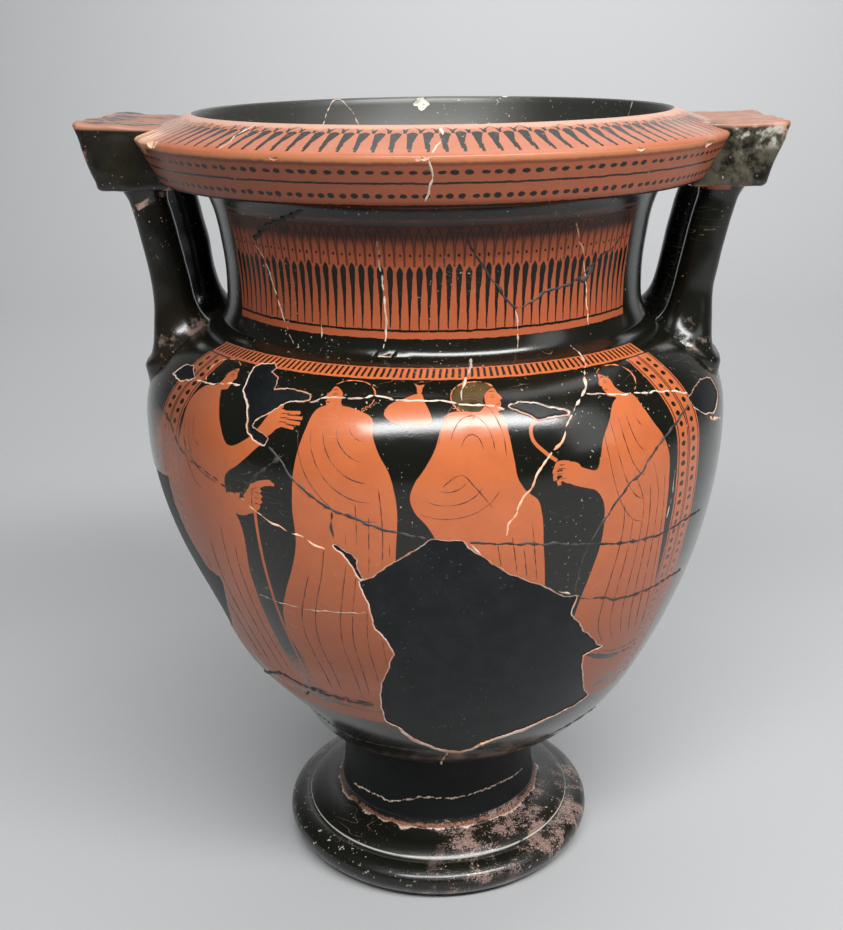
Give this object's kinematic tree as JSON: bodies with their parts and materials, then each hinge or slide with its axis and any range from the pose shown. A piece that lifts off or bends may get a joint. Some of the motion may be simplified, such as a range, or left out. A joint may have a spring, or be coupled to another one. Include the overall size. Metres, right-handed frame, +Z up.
{
  "type": "column krater",
  "caption": "Wheel-thrown mixing bowl with a deep hollow body, a broad overhanging mouth, two column handles under flat plates and a stepped hollow foot; picture panel on the front.",
  "frame": {"origin": "on the floor, at the centre of the ring that the foot rests on, on the axis of the bowl", "axes": "+Z up along the axis of the bowl, +X towards the right handle as one faces the picture side, -Y out of the picture side"},
  "size_m": [0.331, 0.296, 0.4005],
  "materials": {
    "black_gloss_clay": "satin"
  },
  "bodies": {
    "root": {"krater": "black_gloss_clay"}
  },
  "joints": []
}
